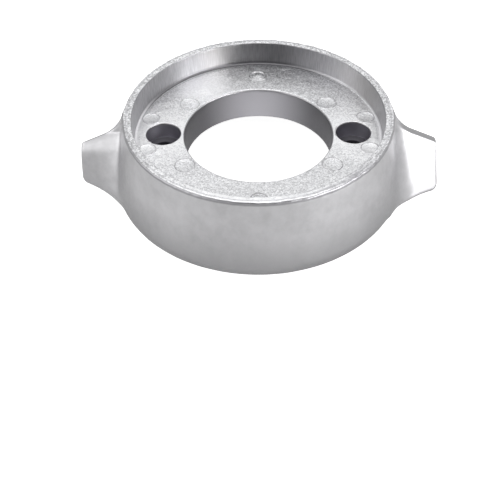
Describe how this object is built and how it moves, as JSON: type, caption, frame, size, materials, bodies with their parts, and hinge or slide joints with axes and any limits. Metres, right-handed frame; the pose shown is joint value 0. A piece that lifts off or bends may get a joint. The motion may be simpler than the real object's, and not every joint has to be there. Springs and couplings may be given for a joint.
{
  "type": "sacrificial anode",
  "caption": "Cast ring anode that corrodes in place of the drive it is bolted to: a recessed face, a central bore, counterbored bolt holes and fairing ears.",
  "frame": {"origin": "centre of the ring, on the plane of its flat base", "axes": "+Z along the bore, from the base to the rim; +X through the bolt holes, towards the broad ear"},
  "size_m": [0.1654, 0.1316, 0.0385],
  "materials": {
    "cast_zinc": "satin as-cast metal"
  },
  "bodies": {
    "root": {"anode_casting": "cast_zinc"}
  },
  "joints": []
}
